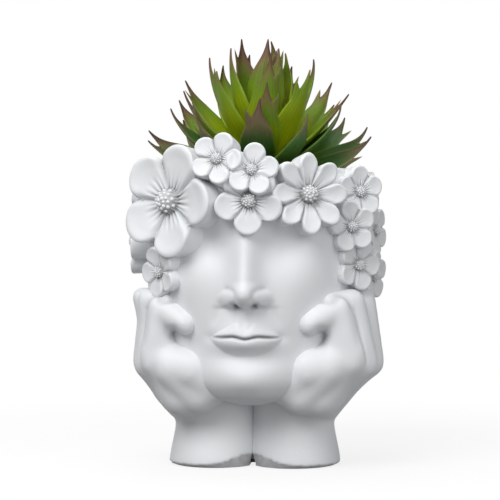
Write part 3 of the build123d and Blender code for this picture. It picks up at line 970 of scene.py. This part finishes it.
def makeLeaf(rootRadius, rootElevation, tipElevation, ringCount, bearing, foot, draw):
    settings = leafSettings
    steps, across = settings["steps"], settings["across"]
    bpy.ops.mesh.primitive_grid_add(x_subdivisions=across, y_subdivisions=steps, size=2)
    leaf = bpy.context.object
    rib = []
    x, z = rootRadius, 0.0
    low = rootElevation < 30
    hook = draw.uniform(14, 40) if low else draw.uniform(-10, 34)
    facing = max(0.0, math.cos(math.radians(bearing)) - 0.3)  # the flowers hold up the front leaves
    held = settings["frontLift"] * facing * ease(80, 50, tipElevation)
    twist = (38 if low else 22) * math.sin(math.radians(bearing)) + draw.uniform(-9, 9)
    curl = draw.uniform(-1, 1)
    length = settings["length"] * draw.uniform(0.97, 1.0)
    for step in range(steps + 1):
        share = step / steps
        angle = math.radians(mix(rootElevation, tipElevation + held + hook * share ** 5, share ** 1.6))
        rib.append((x, z, angle))
        x += length / steps * math.cos(angle)
        z += length / steps * math.sin(angle)
    hornSide = draw.choice((-1, 1, 0))
    tone = draw.random()
    hornStep = round(settings["hornPlace"] * steps)
    along, sides, thickness = [], [], []
    spots = []
    for vertex in leaf.data.vertices:
        side = vertex.co.x
        step = round((vertex.co.y + 1) / 2 * steps)
        share = step / steps
        ribX, ribZ, angle = rib[step]
        room = math.pi * ribX / ringCount * 0.96
        width = min(settings["halfWidth"] * tableCurve(settings["outline"], share)[0], room)
        wave = 1 + settings["wave"] * math.sin(share * 17 + curl * 3) * share
        offset = side * width * wave
        bowl = (width * side) ** 2 * math.sin(angle) / (2 * max(ribX, width))
        bowl += settings["cup"] * side * side * (1 - 0.8 * share)
        roll = math.radians(twist) * ease(0.0, 0.5, share)
        thin = mix(1.0, settings["tipThinness"], ease(0.5, 0.97, share))
        if hornSide and step == hornStep and side * hornSide > 0.7:
            horn = side * hornSide > 0.99
            reach = settings["hornLength"] * (1.0 if horn else 0.2)
            ribX, ribZ = ribX + math.cos(angle) * reach, ribZ + math.sin(angle) * reach
            offset += hornSide * reach * 0.22
            thin = settings["hornThinness"] if horn else thin
        sideways = offset * math.cos(roll) - bowl * math.sin(roll)
        upwards = offset * math.sin(roll) + bowl * math.cos(roll)
        spot = Vector((ribX - upwards * math.sin(angle), sideways, ribZ + upwards * math.cos(angle)))
        spot.y += curl * settings["sway"] * share ** 2
        spots.append(spot)
        thickness.append(thin)
        along.append(share)
        sides.append(side)
    turn = Matrix.Rotation(math.radians(bearing - 90), 4, "Z")
    for vertex, spot in zip(leaf.data.vertices, spots):
        vertex.co = foot + turn @ spot
    group = leaf.vertex_groups.new(name="thickness")
    for index, weight in enumerate(thickness):
        group.add([index], weight, "REPLACE")
    paint(leaf, "along", along)
    paint(leaf, "across", sides)
    paint(leaf, "tone", [tone] * len(spots))
    return leaf


def makeLeaves():
    settings = leafSettings
    draw = random.Random(settings["seed"])
    for number, (up, count, first, span, rootElevation, tipElevation) in enumerate(settings["tiers"], 1):
        core = mix(settings["coreRadius"], settings["coreTipRadius"], up)
        lean = math.sin(math.radians(rootElevation))
        rootRadius = core + settings["thickness"] * 0.7 * lean + settings["rootGap"]
        step = span / count if span == 360 else span / (count - 1)
        foot = Vector((settings["offset"], 0, settings["coreFoot"] + settings["coreHeight"] * up))
        ringCount = count * 360 / span
        leaves = [
            makeLeaf(rootRadius, rootElevation, tipElevation, ringCount, first + step * index, foot, draw)
            for index in range(count)
        ]
        tier = joinPieces(leaves)
        applyModifier(tier, "SOLIDIFY", thickness=settings["thickness"], offset=0, vertex_group="thickness")
        applyModifier(tier, "SUBSURF", levels=1, render_levels=1)
        outer = number <= 3
        finishPiece(
            tier, f"leafTier{number}", outerLeaf if outer else innerLeaf, "plant",
            [f"leaf_tier_{number}"], 60,
        )


makeLeaves()
print("pieces ready")


# Studio

studioSettings = {
    "bearing": 5, "distance": 0.9, "height": 0.115, "lookAt": (-0.0027, 0, 0.1166),
    "frameWidth": 0.275, "sensor": 36,
    "floorSize": 12, "floorTone": (0.18, 0.18, 0.18, 1), "paperTone": (0.93, 0.93, 0.93, 1),
    "floorLift": 0.80, "liftNear": 0.12, "liftFar": 0.45,
    "worldTone": (0.95, 0.97, 1.0, 1), "worldStrength": 0.30,
    "lampAim": (0, 0, 0.1),
    # name, place, size, watts
    "lamps": [
        ("keyLamp", (-0.44, -0.88, 0.90), 0.75, 11.3),
        ("fillLamp", (0.72, -0.94, 0.42), 0.9, 4.7),
        ("topLamp", (-0.1, 0.1, 1.3), 0.9, 6.0),
    ],
}


def seenDirectly(finish):  # 1 for the camera, a reflection or a view through glass
    rays = finish.tree.nodes.new("ShaderNodeLightPath")
    camera, glossy, through = (
        Wire(finish.tree, rays.outputs[name])
        for name in ("Is Camera Ray", "Is Glossy Ray", "Is Transmission Ray")
    )
    total = camera + glossy + through
    return total.maths("MINIMUM", total, 1.0)


def makeFloor():
    settings = studioSettings
    bpy.ops.mesh.primitive_plane_add(size=settings["floorSize"], location=(0, 0, -0.0002))
    floor = bpy.context.object
    floor.name = "floor"
    finish = Finish("floorPaper")
    seen = seenDirectly(finish)
    away = finish.add("ShaderNodeVectorMath", {"operation": "LENGTH"}, output=1, at0=finish.place())
    far = finish.add(
        "ShaderNodeMapRange", {"interpolation_type": "SMOOTHSTEP"}, Value=away,
        at1=settings["liftNear"], at2=settings["liftFar"], at3=settings["floorLift"], at4=1.0,
    )
    finish.set(
        Base_Color=finish.blend(seen, settings["floorTone"], settings["paperTone"]),
        Roughness=0.9, Specular_IOR_Level=0.1,
    )
    glow = finish.add("ShaderNodeEmission", Color=(1, 1, 1, 1), Strength=1.0)
    paper = Wire(finish.tree, finish.shader.outputs[0])
    blend = finish.add("ShaderNodeMixShader", at0=seen * far, at1=paper, at2=glow)
    finish.tree.links.new(blend.socket, finish.output.inputs[0])
    floor.data.materials.append(finish.material)


def makeWorld():  # lights the object softly, and is white to the camera
    world = bpy.data.worlds.new("studio")
    bpy.context.scene.world = world
    world.use_nodes = True
    tree = world.node_tree
    tree.nodes.clear()
    room = tree.nodes.new("ShaderNodeBackground")
    room.inputs[0].default_value = studioSettings["worldTone"]
    room.inputs[1].default_value = studioSettings["worldStrength"]
    white = tree.nodes.new("ShaderNodeBackground")
    white.inputs[0].default_value = (1, 1, 1, 1)
    rays = tree.nodes.new("ShaderNodeLightPath")
    blend = tree.nodes.new("ShaderNodeMixShader")
    output = tree.nodes.new("ShaderNodeOutputWorld")
    tree.links.new(rays.outputs["Is Camera Ray"], blend.inputs[0])
    tree.links.new(room.outputs[0], blend.inputs[1])
    tree.links.new(white.outputs[0], blend.inputs[2])
    tree.links.new(blend.outputs[0], output.inputs[0])


def placeInScene(name, data, place, target):
    item = bpy.data.objects.new(name, data)
    bpy.context.scene.collection.objects.link(item)
    item.location = place
    item.rotation_euler = (Vector(target) - Vector(place)).to_track_quat("-Z", "Y").to_euler()
    return item


def makeLamps():
    for name, place, size, watts in studioSettings["lamps"]:
        lamp = bpy.data.lights.new(name, "AREA")
        lamp.size = size
        lamp.energy = watts
        placeInScene(name, lamp, place, studioSettings["lampAim"])


def makeCamera():
    settings = studioSettings
    camera = bpy.data.cameras.new("camera")
    camera.sensor_width = settings["sensor"]
    camera.lens = settings["sensor"] * settings["distance"] / settings["frameWidth"]
    turn = math.radians(settings["bearing"])
    aside, _, level = settings["lookAt"]
    aim = Vector((aside * math.cos(turn), aside * math.sin(turn), level))
    back = Vector((math.sin(turn), -math.cos(turn), 0)) * settings["distance"]
    place = Vector((aim.x + back.x, aim.y + back.y, settings["height"]))
    bpy.context.scene.camera = placeInScene("camera", camera, place, aim)


makeFloor()
makeWorld()
makeLamps()
makeCamera()
bpy.context.scene.view_settings.view_transform = "Standard"
print("studio ready")
